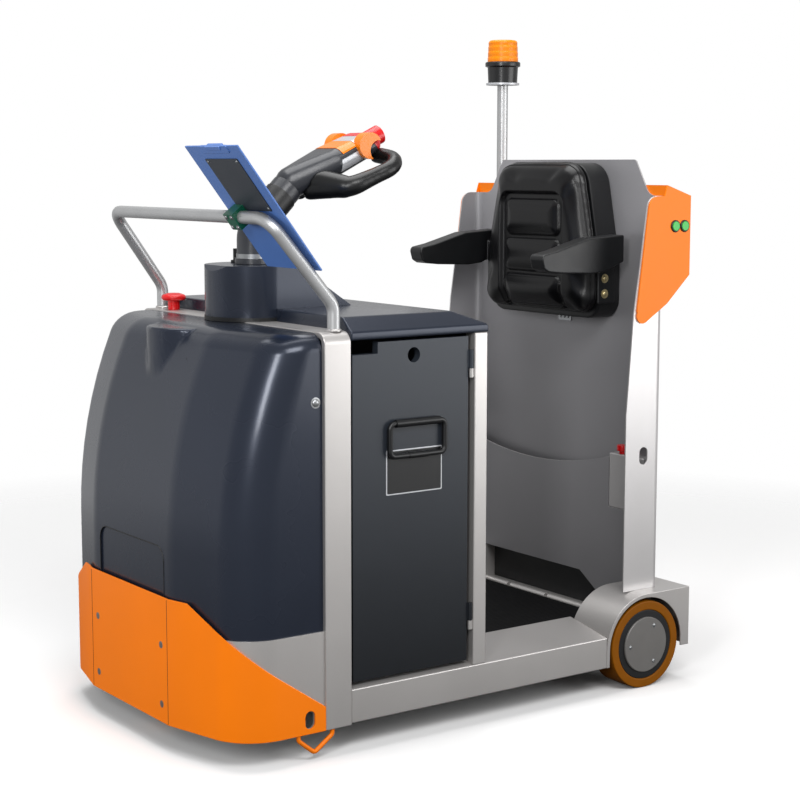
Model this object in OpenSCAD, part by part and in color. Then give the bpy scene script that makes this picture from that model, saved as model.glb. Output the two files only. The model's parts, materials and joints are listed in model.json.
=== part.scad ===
// Stand-on electric tow tractor, three wheels, tiller steering.
// X points forward, Y left, Z up. Millimetres.
// Stations along X are counted from the rear axle; whole() moves the
// finished pieces so that the origin is under the middle of the machine.

/* [Overall] */
// Width over the sills
overall_w = 800; // [760:5:860]
// Front portal to the face of the bumper
nose_l = 253; // [230:1:290]
// Rear axle to the back of the tow coupling
rear_reach = 193; // [185:1:220]

/* [Wheels] */
// Rear wheel diameter
rear_d = 210; // [196:2:214]
// Rear wheel width
rear_w = 76; // [60:1:90]
// Thickness of the rear tyre
rear_tyre_t = 22; // [15:1:28]
// Drive wheel diameter
drive_d = 230; // [210:2:240]
// Drive wheel width
drive_w = 75; // [60:1:85]
// Thickness of the drive tyre
drive_tyre_t = 25; // [15:1:35]
// Face of the bumper back to the drive unit's steering axis
drive_back = 148; // [144:1:152]
// Radius of the rear stub axles
stub_r = 12.5; // [10:0.5:16]

/* [Frame] */
// Ground clearance under the sills
sill_z = 67; // [55:1:80]
// Height of the sill's upright face
sill_h = 73; // [60:1:80]
// Width of the sill, outside to the platform
sill_w = 132; // [120:1:140]
// Rise of the sill's sloping top
sill_rise = 25; // [10:1:30]
// Top of the platform mat above the floor
mat_z = 150; // [146:1:158]
// Thickness of the platform mat
mat_t = 12; // [6:1:16]
// Rear axle to the back of the front portal
portal_x = 842; // [830:1:850]
// Depth of the portal band
portal_d = 65; // [50:1:70]
// Top of the portal
portal_z = 898; // [880:1:920]
// Thickness of the portal band
portal_t = 12; // [8:1:16]
// Rounding of the portal's upper corners
portal_r = 25; // [15:1:40]
// Rear axle to the back of the battery posts
post_x = 485; // [470:1:495]
// Size of the square battery posts
post_s = 35; // [30:1:40]
// Top of the battery posts
post_z = 878; // [870:1:884]

/* [Front cover] */
// Thickness of the skirt and bumper plates
plate_t = 5; // [3:0.5:8]
// Top of the silver skirt
skirt_z = 275; // [265:1:285]
// Lower edge of the skirt, bumper and portal
skirt_low = 63; // [55:1:66]
// Top of the bumper at the nose
bumper_z = 336; // [310:1:360]
// Height of the bumper's rear end
bumper_tail = 114; // [100:1:125]
// Half width of the flat nose
nose_half = 180; // [150:1:190]
// Angle of the plates beside the nose
nose_angle = 14; // [8:1:18]
// Radius of the front corners
corner_r = 110; // [70:1:120]
// Rounding of the ridges on the hood's front
ridge_r = 130; // [60:5:200]
// Wall of the moulded hood
hood_t = 5; // [3:0.5:7]
// Top of the hood
hood_z = 896; // [885:1:896]
// Height at which the hood starts to lean back
bow_z = 440; // [420:1:480]
// Radius of the hood's bowed front
bow_r = 1050; // [950:10:1300]
// Rounding of the hood's upper edge
hood_r = 40; // [25:1:55]
// Top of the tongue on the hood
tongue_z = 890; // [875:1:894]
// Radius of the tongue's tip
tongue_r = 95; // [80:1:110]
// How far the tongue's tip stands behind the bumper's face
tongue_back = 68; // [62:1:84]

/* [Battery bay] */
// Thickness of the battery cover's upright rim
cover_rim = 17; // [10:1:25]
// Rise from the rim to the top of the cover
cover_rise = 30; // [20:1:32]
// Width of the cover's side slopes
cover_side = 34; // [20:1:50]
// Width of the cover's rear slope
cover_back = 78; // [50:1:90]
// Thickness of the battery doors
door_t = 20; // [12:1:24]
// How far the doors sit behind the sill's face
door_in = 8; // [6:1:12]
// Gap round the doors
door_gap = 7; // [6:1:9]
// Radius of the door hinge pins
pin_r = 2.5; // [2:0.1:3]
// Running clearance on the hinge pins
pin_gap = 0.3; // [0.2:0.05:0.5]
// Width of a door's bail handle
bail_w = 143; // [110:1:170]
// Height of a door's bail handle
bail_h = 70; // [50:1:90]
// Radius of the bail's rod
bail_r = 6; // [4:0.5:7]
// Radius of the bail's grip sleeve
sleeve_r = 8.5; // [7:0.5:10]
// Height of the battery
battery_h = 640; // [560:5:660]

/* [Console and tiller] */
// Rear axle to the steering column
column_x = 836; // [815:1:845]
// Half width of the console
console_r = 108; // [95:1:120]
// Height of the console's top
console_z = 1018; // [1000:1:1030]
// Radius of the tiller's neck
neck_r = 36; // [28:1:40]
// Height of the bend in the neck above the console
neck_rise = 78; // [70:1:90]
// Length of the tiller head
head_l = 282; // [260:1:300]
// Angle of the tiller head above level
head_angle = 25; // [18:1:30]
// Half width over the grips
grip_half = 150; // [135:1:165]
// Radius of the grip tube
grip_r = 18; // [14:0.5:20]

/* [Handrail] */
// Radius of the rail tube
rail_r = 13.5; // [11:0.5:16]
// Sill's face in to the rail's feet
rail_in = 28; // [25:1:50]
// How far the top bar's ends stand inside the feet
rail_tuck = 27; // [15:1:50]
// Height of the top bar
rail_z = 1130; // [1100:1:1160]
// How far the top bar stands ahead of the feet
rail_lean = 140; // [110:1:160]

/* [Rear wall] */
// Sill's face in to the side of the rear wall
wall_in = 43; // [35:1:55]
// Rear axle back to the wall's front face
wall_x = 75; // [70:1:80]
// Thickness of the sheet
sheet_t = 4; // [3:0.5:6]
// Depth of the wings at the foot
wing_d = 111; // [90:1:115]
// Top of the wings
wing_z = 1165; // [1140:1:1180]
// Top of the wall
wall_z = 1250; // [1235:1:1270]
// How far the wall's top edge stops short of its side
wall_shoulder = 101; // [90:1:115]
// Bend radius of the wall's corners
wall_r = 22; // [12:1:28]
// Top of the pocket at its ends
pocket_z = 530; // [500:1:560]
// Depth of the dip in the pocket's edge
pocket_dip = 40; // [25:1:60]
// Distance from the wall to the pocket panel
pocket_d = 30; // [22:1:34]
// Floor of the pocket
pocket_low = 300; // [260:1:340]
// Lower edge of the switch box beside the pocket
switch_z = 406; // [380:1:430]
// Height of the switch box
switch_h = 134; // [110:1:150]
// How far the orange fairing stands behind the axle
fairing_x = 155; // [140:1:165]
// Lower edge of the fairing's side plates
fairing_low = 868; // [850:1:890]

/* [Wheel arches] */
// Top of the arches
arch_z = 228; // [224:1:236]
// Radius of the arch's rounded front
arch_r = 123; // [118:1:126]
// Rear axle to the arch's rear face
arch_back = 140; // [130:1:150]
// Lower edge of the arch's rear part
arch_low = 85; // [75:1:95]
// Radius of the wheel opening
arch_hole_r = 114; // [112:1:117]

/* [Backrest] */
// Lower edge of the backrest
back_z = 880; // [860:1:900]
// Height of the backrest cushion
back_h = 364; // [340:1:368]
// Half width of the cushion
back_half = 203; // [180:1:208]
// Thickness of the cushion
back_t = 42; // [30:1:55]
// Depth of the shell behind the cushion
shell_d = 68; // [50:1:72]
// Length of the armrests ahead of the shell
arm_l = 225; // [200:1:260]
// Top of the armrests above the cushion's lower edge
arm_rise = 192; // [175:1:205]
// Width of an armrest
arm_w = 48; // [36:1:60]

/* [Beacon] */
// Height of the lens top
beacon_z = 1561; // [1500:1:1600]
// Diameter of the lens
lens_d = 80; // [66:1:90]
// Height of the lens
lens_h = 56; // [40:1:65]
// Height of the beacon's base
base_h = 60; // [45:1:75]
// Radius of the pole
pole_r = 14; // [9:0.5:16]
// Side of the rear wall in to the pole
pole_in = 57; // [47:1:77]

/* [Document board] */
// Width of the board
board_w = 212; // [200:1:215]
// Length of the board
board_l = 318; // [300:1:330]
// Thickness of the board
board_t = 4; // [3:0.5:6]
// Inner edge of the board from the end of the rail's top bar
board_in = 177; // [170:1:195]

/* [Hidden] */
$fn = 48;
half_w = overall_w / 2;
gap = 0.3;
portal_front = portal_x + portal_d;
front_reach = portal_front + nose_l;
mid_x = (front_reach - rear_reach) / 2;
drive_x = front_reach - drive_back;
sill_top = sill_z + sill_h;
sill_in = half_w - sill_w;
post_in = half_w - post_s;
pan_z = mat_z - mat_t;
rear_r = rear_d / 2;
drive_r = drive_d / 2;

// Front plan: flat nose, slanted flanks and round corners
arc_n = 12;
corner_y = half_w - corner_r;
corner_x = front_reach - (corner_r + (corner_y - nose_half) * sin(nose_angle)) / cos(nose_angle);
hood_in = 2 * plate_t;

// Battery bay
door_y = half_w - door_in;
door_x0 = post_x + post_s + 12;
door_x1 = portal_x - door_gap - 1;
door_z0 = sill_top + sill_rise * (door_in + door_t) / sill_w + door_gap;
door_z1 = post_z - door_gap;
knuckle_r = 5;
hinge_x = post_x + post_s + 6;
hinge_y = half_w - knuckle_r;
hinge_zs = [door_z0 + 90, door_z1 - 70];
cover_z = post_z + cover_rim + cover_rise;
bail_x = (door_x0 + door_x1) / 2 - 10;
bail_z = door_z1 - 209;

// Tiller
neck_lean = 91;
neck_top = [column_x - neck_lean, 0, console_z + neck_rise + 90];
head_dir = [-cos(head_angle), 0, sin(head_angle)];
stub_z = console_z + gap;

// Handrail, one sloping plane that the board leans on
rail_x = (portal_x + portal_front) / 2 - 8;
rail_foot = half_w - rail_in;
rail_top_half = rail_foot - rail_tuck;
board_y = rail_top_half - board_in;
stop_y = half_w - 98;
rail_knee = portal_z + 52;
rail_top_x = rail_x + rail_lean;
rail_slope = atan2(rail_z - rail_knee, rail_lean);

// Rear wall
wall_half = half_w - wall_in;
wall_top_half = wall_half - wall_shoulder;
wall_back = -wall_x - sheet_t;
wing_front = wing_d - wall_x;
pocket_x = -wall_x + pocket_d;
pocket_y0 = -wall_half + sheet_t;
pocket_y1 = wall_half - 143;
pocket_cut = wall_half - 185;
fairing_top = wing_z + 25;

// Beacon pole, halfway down the fairing's top
pole_x = -(wall_x + sheet_t + fairing_x) / 2 + 7;
pole_y = wall_half - pole_in;
base_z = beacon_z - lens_h - base_h;

// Backrest
shell_front = -wall_x + shell_d;
shell_half = back_half + 4;

// Drive unit
mount_t = 20;
mount_bore = 112;
turn_r = 125;
motor_r = 82;
motor_top = 560;
leg_y0 = drive_w / 2 + 8;
leg_y1 = leg_y0 + 52;
drive_axle_r = 15;

// Shared shapes

module whole() translate([-mid_x, 0, 0]) children();

// Upright oval of radius r, with its ends s above and below the middle
module oval(r, s) {
    for (y = [-s, s]) translate([0, y]) circle(r = r);
    translate([-r, -s]) square([2 * r, 2 * s]);
}

// Draws the children on the left and mirrored on the right
module both_sides() {
    children();
    mirror([0, 1, 0]) children();
}

// Extrudes an X-Z profile along Y
module along_y(y0, y1) translate([0, y1, 0]) rotate([90, 0, 0]) linear_extrude(y1 - y0) children();

// Extrudes a Y-Z profile along X
module along_x(x0, x1) translate([x0, 0, 0]) rotate([90, 0, 90]) linear_extrude(x1 - x0) children();

// Round bar along Y through x, z
module bar_y(x, z, r, y0, y1) translate([x, y0, z]) rotate([-90, 0, 0]) cylinder(r = r, h = y1 - y0);

// Box given by its low and high corners
module block(low, high) translate(low) cube(high - low);

function arc(cx, cy, r, a0, a1, n) =
    [for (i = [0 : n]) let (a = a0 + (a1 - a0) * i / n) [cx + r * cos(a), cy + r * sin(a)]];

function unit(v) = v / norm(v);

function mirrored(p) = [for (i = [len(p) - 1 : -1 : 0]) [-p[i][0], p[i][1]]];

module rod(a, b, r) {
    v = b - a;
    translate(a)
        rotate([0, acos(v[2] / norm(v)), atan2(v[1], v[0])])
            cylinder(r = r, h = norm(v));
}

// Points round the corner at b, on the way from a to c
function corner_points(a, b, c, bend, n) =
    let (
        u = unit(b - a),
        w = unit(c - b),
        turn = acos(u * w),
        m = unit(w - u * (u * w)),
        o = b - u * bend * tan(turn / 2) + m * bend
    )
    [for (k = [0 : n]) o - m * bend * cos(turn * k / n) + u * bend * sin(turn * k / n)];

function rounded(p, bend, n) = concat(
    [p[0]],
    [for (i = [1 : len(p) - 2]) each corner_points(p[i - 1], p[i], p[i + 1], bend, n)],
    [p[len(p) - 1]]
);

function tangent(q, i) =
    i == 0 ? unit(q[1] - q[0])
    : i == len(q) - 1 ? unit(q[i] - q[i - 1])
    : unit(unit(q[i + 1] - q[i]) + unit(q[i] - q[i - 1]));

// A normal for each point of a path, carried along without twist
function carried(q, i, v) =
    let (t = tangent(q, i), n = unit(v - t * (t * v)))
    i == len(q) - 1 ? [n] : concat([n], carried(q, i + 1, n));

// Closed skin over rings of points, all with the same count
module skin(rings) {
    n = len(rings[0]);
    last = len(rings) - 1;
    polyhedron(
        points = [for (ring = rings) each ring],
        faces = concat(
            [[for (k = [n - 1 : -1 : 0]) k]],
            [for (i = [0 : last - 1], k = [0 : n - 1])
                each let (a = i * n + k, b = i * n + (k + 1) % n) [[a, b, b + n], [a, b + n, a + n]]],
            [[for (k = [0 : n - 1]) last * n + k]]
        )
    );
}

// A bent tube through the points p, with every corner rounded
module tube_path(p, r, bend, side = [0, 1, 0], sides = 20, n = 6) {
    q = rounded(p, bend, n);
    v = carried(q, 0, side);
    skin([for (i = [0 : len(q) - 1])
        let (t = tangent(q, i), w = cross(t, v[i]))
        [for (k = [0 : sides - 1]) q[i] + r * (cos(360 * k / sides) * v[i] - sin(360 * k / sides) * w)]]);
}

// Half of the front plan, inset by d and moved back, from the side to the nose.
// The plates fold at the ridge, the hood is rounded there with radius r.
function half_plan(d, back, r) =
    let (x = front_reach - back - d, y = nose_half - d * tan(nose_angle / 2))
    concat(
        arc(corner_x - back, corner_y, corner_r - d, 90, nose_angle, arc_n),
        r > 0 ? arc(x - r, y - r * tan(nose_angle / 2), r, nose_angle, 0, 4) : [[x, y]]
    );

function plan(d, back, rear, r = 0) =
    let (h = half_plan(d, back, r))
    concat(
        [[rear, half_w - d]],
        h,
        [for (i = [len(h) - 1 : -1 : 0]) [h[i][0], -h[i][1]]],
        [[rear, -half_w + d]]
    );

// Plates that follow the front plan
module plan_plate(d, z0, z1)
    translate([0, 0, z0]) linear_extrude(z1 - z0)
        difference() {
            polygon(plan(d, 0, portal_front));
            polygon(plan(d + plate_t, 0, portal_front - 1));
        }

// How far the hood leans back at a height
function lean(z) = z <= bow_z ? 0 : bow_r - sqrt(bow_r * bow_r - (z - bow_z) * (z - bow_z));

// Frame

function sill_slope(y) = sill_top + sill_rise * (half_w - y) / sill_w;

module chassis_frame() color("silver") whole() {
    both_sides()
        along_x(arch_r, portal_x)
            polygon([
                [half_w, sill_z], [half_w, sill_top],
                [sill_in, sill_top + sill_rise], [sill_in, sill_z]
            ]);
    block([-wall_x, -sill_in, pan_z - 12], [portal_x, sill_in, pan_z]);
    for (x = [-wall_x, 200, post_x, portal_x - post_s])
        block([x, -sill_in, sill_z], [x + post_s, sill_in, pan_z - 12]);
    block([-arch_back, -sill_in, arch_low], [-wall_x, sill_in, arch_z]);
}

module portal() color("silver") whole()
    along_x(portal_x, portal_front)
        difference() {
            polygon(concat(
                [[half_w, skirt_low]],
                arc(half_w - portal_r, portal_z - portal_r, portal_r, 0, 90, 8),
                arc(-half_w + portal_r, portal_z - portal_r, portal_r, 90, 180, 8),
                [[-half_w, skirt_low]]
            ));
            polygon(concat(
                [[half_w - portal_t, skirt_low - 1]],
                arc(half_w - portal_r, portal_z - portal_r, portal_r - portal_t, 0, 90, 8),
                arc(-half_w + portal_r, portal_z - portal_r, portal_r - portal_t, 90, 180, 8),
                [[-half_w + portal_t, skirt_low - 1]]
            ));
        }

module battery_posts() color("silver") whole()
    both_sides()
        along_x(post_x, post_x + post_s)
            polygon([
                [post_in, sill_slope(post_in)], [half_w, sill_top],
                [half_w, post_z], [post_in, post_z]
            ]);

module bulkhead() color([0.16, 0.17, 0.19]) whole()
    difference() {
        along_x(post_x + 2, post_x + 10)
            polygon([
                [-post_in, sill_slope(post_in)], [-sill_in, sill_slope(sill_in)],
                [-sill_in, pan_z], [sill_in, pan_z], [sill_in, sill_slope(sill_in)],
                [post_in, sill_slope(post_in)], [post_in, post_z], [-post_in, post_z]
            ]);
        for (i = [0 : 3])
            block([post_x, -90, 300 + 30 * i], [post_x + 20, 90, 312 + 30 * i]);
    }

// Front

module front_skirt() color("silver") whole()
    difference() {
        plan_plate(plate_t, skirt_low, skirt_z);
        both_sides() tie_hole();
    }

// Oval tie-down hole in the bumper's tail
module tie_hole()
    translate([portal_front + 39, half_w - 4 * plate_t, skirt_low + 30]) rotate([-90, 0, 0])
        linear_extrude(6 * plate_t) oval(12, 7);

module bumper() {
    slope_x = 0.688;
    slope_y = 0.368;
    n = unit([-slope_x, slope_y, 1]);
    color("darkorange") whole()
        difference() {
            plan_plate(0, skirt_low, bumper_z);
            both_sides()
                translate([portal_front, half_w, bumper_tail])
                    rotate([-asin(n[1]), atan2(n[0], n[2]), 0])
                        translate([-300, -half_w, 0]) cube([1200, 2 * half_w, 900]);
            both_sides() tie_hole();
        }
}

// Closed hood form: upright foot, bowed front, rounded upper edge
module hood_form(d, z0, z1, rear) {
    bow_n = 8;
    edge_n = 8;
    knee = z1 - hood_r;
    levels = concat(
        [[z0, d]],
        [for (i = [0 : bow_n]) [bow_z + (knee - bow_z) * i / bow_n, d]],
        [for (i = [1 : edge_n]) let (a = 90 * i / edge_n) [knee + hood_r * sin(a), d + hood_r * (1 - cos(a))]]
    );
    skin([for (l = levels) [for (p = plan(l[1], lean(l[0]), rear, ridge_r)) [p[0], p[1], l[0]]]]);
}

module tongue_plan() {
    tip = front_reach - tongue_back - tongue_r;
    intersection() {
        union() {
            translate([tip, 0]) circle(r = tongue_r);
            translate([portal_front, -tongue_r]) square([tip - portal_front, 2 * tongue_r]);
        }
        translate([portal_front, -tongue_r]) square([front_reach - portal_front, 2 * tongue_r]);
    }
}

module hood() color([0.2, 0.21, 0.24]) whole()
    difference() {
        union() {
            hood_form(hood_in, skirt_z, hood_z, portal_front);
            translate([0, 0, tongue_z - 130]) linear_extrude(130) tongue_plan();
        }
        hood_form(hood_in + hood_t, skirt_z - 1, hood_z - hood_t, portal_front - 1);
        translate([front_reach - hood_in - 3, 0, 0])
            along_x(0, 20)
                polygon(concat(
                    [[150, skirt_z - 1]],
                    arc(120, bow_z - 30, 30, 0, 90, 6),
                    arc(-120, bow_z - 30, 30, 90, 180, 6),
                    [[-150, skirt_z - 1]]
                ));
    }

module drive_mount() color([0.25, 0.25, 0.27]) whole()
    difference() {
        union() {
            translate([0, 0, skirt_z - mount_t]) linear_extrude(mount_t)
                polygon(plan(hood_in, 0, portal_front));
            block([portal_x, -half_w + portal_t, skirt_z - mount_t],
                [portal_front, half_w - portal_t, skirt_z]);
        }
        translate([drive_x, 0, 0]) cylinder(r = mount_bore, h = skirt_z + 1);
    }

module front_hooks() color("darkorange") whole()
    both_sides()
        tube_path([
            [portal_front + 64, half_w - 8, skirt_low],
            [portal_front + 64, half_w - 8, skirt_low - 12],
            [portal_front + 25, half_w - 8, 19],
            [portal_front - 20, half_w - 8, skirt_low - 12],
            [portal_front - 20, half_w - 8, skirt_low]
        ], 5, 9, [0, 1, 0], 12, 4);

// Battery bay

module battery() color([0.1, 0.1, 0.11]) whole()
    block([door_x0 + 8, -sill_in + 2, pan_z], [door_x1 - 6, sill_in - 2, pan_z + battery_h]);

module battery_cover() color([0.2, 0.21, 0.24]) whole()
    intersection() {
        along_x(post_x - 3, portal_x)
            polygon([
                [-half_w, post_z], [half_w, post_z], [half_w, post_z + cover_rim],
                [half_w - cover_side, cover_z], [-half_w + cover_side, cover_z],
                [-half_w, post_z + cover_rim]
            ]);
        along_y(-half_w, half_w)
            polygon([
                [post_x - 3, post_z], [portal_x, post_z], [portal_x, cover_z],
                [post_x - 3 + cover_back, cover_z], [post_x - 3, post_z + cover_rim]
            ]);
    }

// Panel of the left door, with its latch notch, key hole and hinge knuckles
module door_panel() {
    difference() {
        block([door_x0, door_y - door_t, door_z0], [door_x1, door_y, door_z1]);
        block([door_x1 - 64, door_y - door_t - 1, door_z1 - 24], [door_x1 + 1, door_y + 1, door_z1 + 1]);
        bar_y(door_x0 + 145, door_z1 - 32, 16, door_y - door_t - 1, door_y + 1);
    }
    for (z = hinge_zs)
        difference() {
            union() {
                translate([hinge_x, hinge_y, z]) cylinder(r = knuckle_r, h = 40);
                block([hinge_x, hinge_y - 9, z], [door_x0, hinge_y - 2, z + 40]);
            }
            translate([hinge_x, hinge_y, z - 1]) cylinder(r = pin_r + pin_gap, h = 42);
        }
}

// Rectangular loop with a grip sleeve on its top bar, lying on the door
module door_bail() {
    y = door_y + sleeve_r;
    x0 = bail_x - bail_w / 2;
    x1 = bail_x + bail_w / 2;
    low = bail_z - bail_h / 2;
    high = bail_z + bail_h / 2;
    tube_path([
        [bail_x - 16, y, low], [x0, y, low], [x0, y, high], [x1, y, high], [x1, y, low], [bail_x + 16, y, low]
    ], bail_r, 12, [0, 1, 0], 12, 4);
    rod([x0 + 14, y, high], [x1 - 14, y, high], sleeve_r);
    rod([bail_x - 24, y, low], [bail_x + 24, y, low], bail_r + 1);
    for (x = [x0 + 24, x1 - 24])
        block([x - 7, door_y, low - 4], [x + 7, y + 2, low + 4]);
}

module battery_door_left() color([0.18, 0.19, 0.21]) whole() door_panel();
module battery_door_right() color([0.18, 0.19, 0.21]) whole() mirror([0, 1, 0]) door_panel();
module door_bail_left() color([0.05, 0.05, 0.05]) whole() door_bail();
module door_bail_right() color([0.05, 0.05, 0.05]) whole() mirror([0, 1, 0]) door_bail();

// Pins with the lugs that carry them on the posts
module door_hinge_pins() color("silver") whole()
    both_sides()
        for (z = hinge_zs) {
            translate([hinge_x, hinge_y, z - 20]) cylinder(r = pin_r, h = 58);
            translate([hinge_x, hinge_y, z - 20]) cylinder(r = knuckle_r, h = 20 - gap);
            block([post_x + post_s, hinge_y - 2, z - 20], [hinge_x, hinge_y + 2, z - gap]);
        }

// Console and tiller

module console() color([0.2, 0.21, 0.24]) whole()
    intersection() {
        translate([0, 0, portal_z]) linear_extrude(console_z - portal_z)
            union() {
                translate([column_x, 0]) circle(r = console_r);
                translate([column_x - 250, -console_r]) square([250, 2 * console_r]);
            }
        along_y(-console_r, console_r)
            polygon([
                [portal_x, portal_z], [column_x + console_r, portal_z],
                [column_x + console_r, console_z - 12], [column_x + console_r - 12, console_z],
                [column_x - 40, console_z], [column_x - 196, console_z - 34],
                [column_x - 246, cover_z], [portal_x, cover_z]
            ]);
    }

module key_switch() color([0.05, 0.05, 0.05]) whole()
    translate([column_x + 2, -67, console_z]) {
        cylinder(r = 14, h = 6);
        translate([-9, -2.5, 6]) cube([18, 5, 26]);
    }

module emergency_stop() color("red") whole()
    translate([(portal_x + portal_front) / 2, -stop_y, portal_z]) {
        cylinder(r = 14, h = 22);
        translate([0, 0, 22])
            rotate_extrude()
                polygon(concat([[0, 0], [20, 0]], arc(22, 7, 7, -90, 70, 8), [[14, 17], [0, 18]]));
    }

module tiller_column() color([0.15, 0.15, 0.17]) whole() {
    translate([column_x, 0, stub_z]) cylinder(r = neck_r + 4, h = 12);
    tube_path([
        [column_x, 0, stub_z + 4], [column_x, 0, console_z + neck_rise], neck_top
    ], neck_r, 60);
}

// Point on the tiller head: s along it from the neck, y to the left, h above its axis
function head_at(s, y, h) = neck_top + head_dir * s + [0, y, 0] + h * [sin(head_angle), 0, cos(head_angle)];

module ball(p, r) translate(p) sphere(r = r, $fn = 24);

module head_form() hull() {
    ball(head_at(14, 0, 6), neck_r);
    for (s = [-1, 1]) {
        ball(head_at(120, s * 34, 6), 30);
        ball(head_at(head_l - 62, s * 34, 4), 26);
    }
}

module tiller_head() color([0.25, 0.25, 0.27]) whole()
    difference() {
        head_form();
        rod(neck_top - 60 * unit(neck_top - [column_x, 0, console_z + neck_rise]), neck_top, neck_r + 8);
    }

// Corner points of a grip: off the neck, along the side and back to the head's end
grip_path = [
    head_at(36, 18, -22), head_at(92, grip_half - 40, -40), head_at(238, grip_half - grip_r, -46),
    head_at(226, 36, -24)
];

module tiller_grips() color([0.06, 0.06, 0.07]) whole()
    difference() {
        both_sides() {
            tube_path(grip_path, grip_r, 44);
            hull() {
                ball(head_at(58, 26, -12), 27);
                ball(head_at(84, 92, -36), grip_r + 3);
            }
        }
        head_form();
    }

// Butterfly throttle: a crescent on each side of the head, open to the grip
module tiller_throttle() color("darkorange") whole()
    difference() {
        both_sides() rod(head_at(200, 46, 10), head_at(200, 74, 10), 30);
        both_sides() rod(head_at(216, 40, -10), head_at(216, 80, -10), 24);
        both_sides() rod(grip_path[2], grip_path[3], grip_r + 2);
        head_form();
    }

module tiller_stop_button() color("red") whole()
    difference() {
        rod(head_at(head_l - 60, 0, 4), head_at(head_l - 4, 0, 4), 22);
        head_form();
    }

// Handrail and document board

module handrail() color("silver") whole()
    tube_path([
        [rail_x, rail_foot, portal_z], [rail_x, rail_foot, rail_knee],
        [rail_top_x, rail_top_half, rail_z], [rail_top_x, -rail_top_half, rail_z],
        [rail_x, -rail_foot, rail_knee], [rail_x, -rail_foot, portal_z]
    ], rail_r, 45);

// Frame of the board's plane: on the top bar, tilted with the rail's legs
module on_board() translate([rail_top_x, board_y, rail_z]) rotate([0, -rail_slope, 0]) children();

board_down = 150;
board_off = rail_r + 4;

module document_board() color([0.28, 0.38, 0.62]) whole()
    on_board()
        translate([-board_down, 0, board_off]) cube([board_l, board_w, board_t]);

module board_clamp() color([0.05, 0.35, 0.28]) whole()
    on_board()
        difference() {
            translate([-20, 43, -rail_r - 4]) cube([40, 36, board_off + rail_r + 4]);
            translate([0, 42, 0]) rotate([-90, 0, 0]) cylinder(r = rail_r, h = 38);
        }

// Platform

module platform_mat() color([0.05, 0.05, 0.05]) whole()
    block([8, -sill_in, pan_z], [post_x + 2, sill_in, mat_z]);

module platform_hinge_rod() color("silver") whole() {
    r = mat_t * 0.7;
    for (s = [[-sill_in, -129], [-117, 21], [33, 171], [183, sill_in]])
        bar_y(-r, pan_z + r, r, s[0], s[1]);
}

// Rear wall

module rear_wall() color([0.72, 0.72, 0.74]) whole()
    difference() {
        intersection() {
            translate([0, 0, arch_z]) linear_extrude(wall_z - arch_z)
                difference() {
                    wall_plan(0);
                    wall_plan(sheet_t);
                }
            along_y(-wall_half, wall_half)
                polygon(concat(
                    [
                        [wall_back, arch_z], [wing_front, arch_z], [wing_front, 651],
                        [wing_front - 19, 890]
                    ],
                    arc(wing_front - 83, wing_z - 28, 28, 0, 90, 6),
                    [[-wall_x + wall_r, wing_z], [-wall_x + wall_r, wall_z], [wall_back, wall_z]]
                ));
            along_x(wall_back, wing_front)
                polygon(concat(wall_edge(), mirrored(wall_edge())));
        }
        both_sides()
            translate([wing_front - 57, wall_half - 2 * sheet_t, pocket_z + 22]) rotate([-90, 0, 0])
                linear_extrude(3 * sheet_t) oval(13, 8);
    }

// Right half of the wall seen from the front, with its concave shoulder
function wall_edge() = concat(
    [[wall_half, arch_z], [wall_half, wing_z]],
    arc(wall_top_half + 66, wing_z + 34, 34, 270, 208, 6),
    arc(wall_top_half - 9, wall_z - 11, 11, 25, 90, 5)
);

// Plan of the channel-shaped wall, inset by d
module wall_plan(d) {
    half = wall_half - d;
    back = wall_back + d;
    r = wall_r - d;
    polygon(concat(
        [[wing_front + d, half]],
        arc(back + r, half - r, r, 90, 180, 8),
        arc(back + r, -half + r, r, 180, 270, 8),
        [[wing_front + d, -half]]
    ));
}

module storage_pocket() color([0.66, 0.66, 0.68]) whole() {
    mid = (pocket_y0 + pocket_y1) / 2;
    span = (pocket_y1 - pocket_y0) / 2;
    dip_r = (span * span + pocket_dip * pocket_dip) / (2 * pocket_dip);
    half_angle = asin(span / dip_r);
    along_x(pocket_x, pocket_x + sheet_t)
        polygon(concat(
            [
                [pocket_y0, arch_z], [pocket_cut - 61, arch_z], [pocket_cut, arch_z - 40],
                [sill_in - gap, arch_z - 40], [sill_in - gap, arch_z], [-pocket_y0, arch_z],
                [-pocket_y0, switch_z - gap], [pocket_y1, switch_z - gap]
            ],
            arc(mid, pocket_z - pocket_dip + dip_r, dip_r, 270 + half_angle, 270 - half_angle, 12)
        ));
    block([-wall_x, -wall_half + wall_r, pocket_low], [pocket_x, pocket_y1, pocket_low + sheet_t]);
    block([-wall_x, pocket_y1 - sheet_t, pocket_low + sheet_t], [pocket_x, pocket_y1, pocket_z]);
}

module kick_panel() color([0.06, 0.06, 0.06]) whole()
    along_x(-wall_x, -wall_x + 5)
        polygon([[-sill_in, pan_z], [sill_in, pan_z], [sill_in, arch_z], [-sill_in, arch_z]]);

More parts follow.
